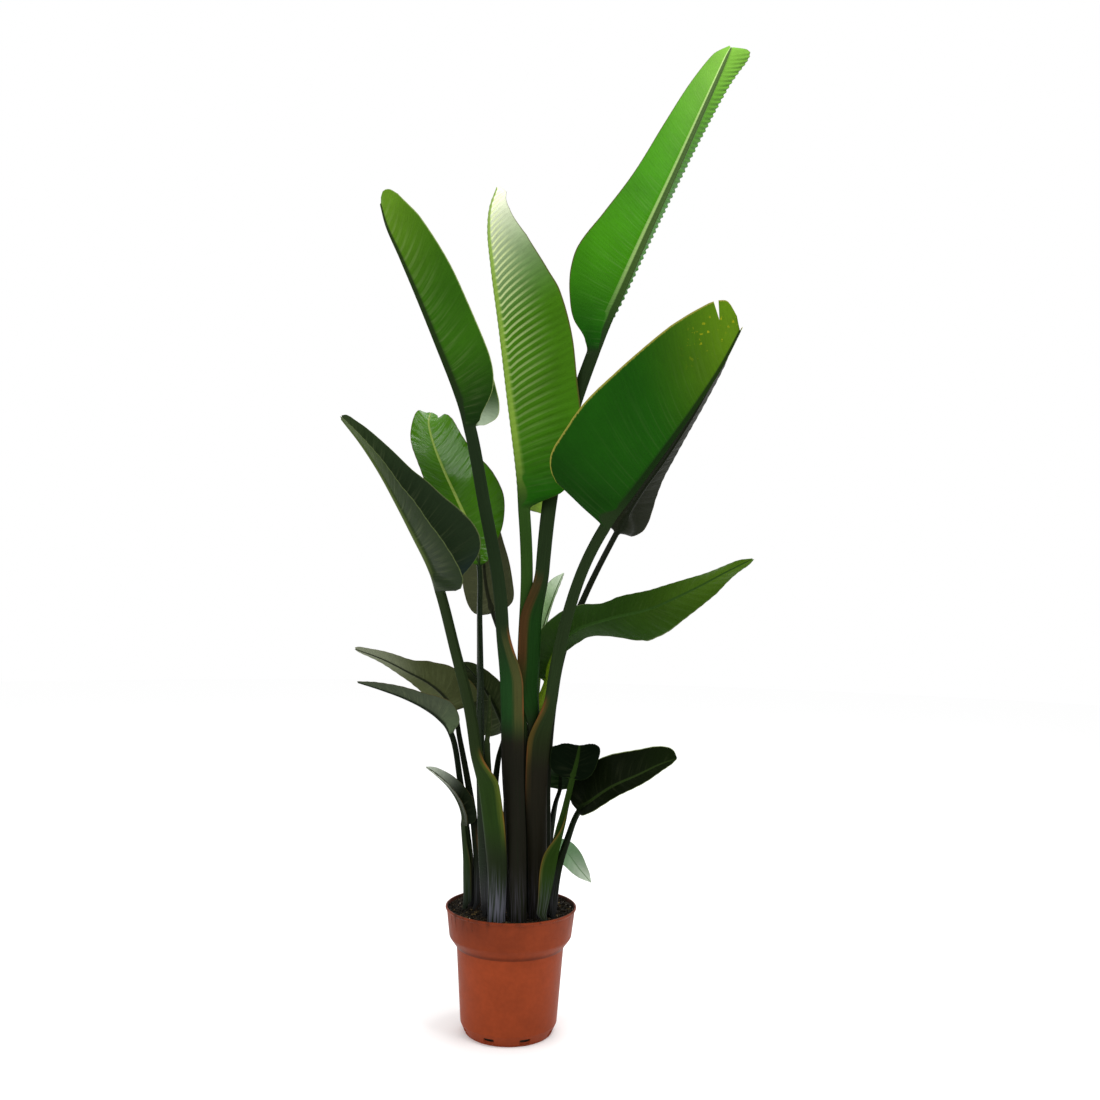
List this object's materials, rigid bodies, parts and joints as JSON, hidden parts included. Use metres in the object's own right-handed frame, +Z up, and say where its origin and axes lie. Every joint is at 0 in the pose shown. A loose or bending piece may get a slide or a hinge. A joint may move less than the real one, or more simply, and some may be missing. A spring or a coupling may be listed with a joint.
{
  "type": "potted bird of paradise",
  "caption": "Tall house plant with long-stalked paddle leaves, ribbed and folded along their midribs, standing in a round nursery pot of soil.",
  "frame": {"origin": "middle of the pot's underside, on the surface that the pot stands on", "axes": "+Z up; -Y is the side that the picture shows, with +X to the right"},
  "size_m": [0.7591, 0.6408, 1.9294],
  "materials": {
    "pot": "satin moulded plastic, terracotta coloured",
    "soil": "damp crumbly potting soil",
    "leaf_bright": "smooth leathery leaf, bright green",
    "leaf_green": "smooth leathery leaf, deep green",
    "leaf_dark": "smooth leathery leaf, very dark green",
    "leaf_olive": "matt leaf, olive grey on its underside",
    "leaf_pale": "soft young leaf, pale green"
  },
  "bodies": {
    "root": {"pot": "pot", "soil": "soil", "leaf_top_right": "leaf_bright", "leaf_upper_left": "leaf_green", "leaf_centre": "leaf_bright", "leaf_front_right": "leaf_green", "leaf_behind_right": "leaf_dark", "leaf_front_left": "leaf_dark", "leaf_behind_left": "leaf_bright", "leaf_back_left": "leaf_olive", "leaf_middle_right": "leaf_green", "leaf_lower_left_high": "leaf_olive", "leaf_lower_left": "leaf_olive", "leaf_middle_left": "leaf_olive", "leaf_low_left": "leaf_dark", "leaf_low_right": "leaf_dark", "leaf_low_right_sheathed": "leaf_dark", "leaf_low_right_back": "leaf_dark", "leaf_low_back": "leaf_pale", "leaf_young_back": "leaf_pale", "leaf_spear": "leaf_dark"}
  },
  "joints": []
}
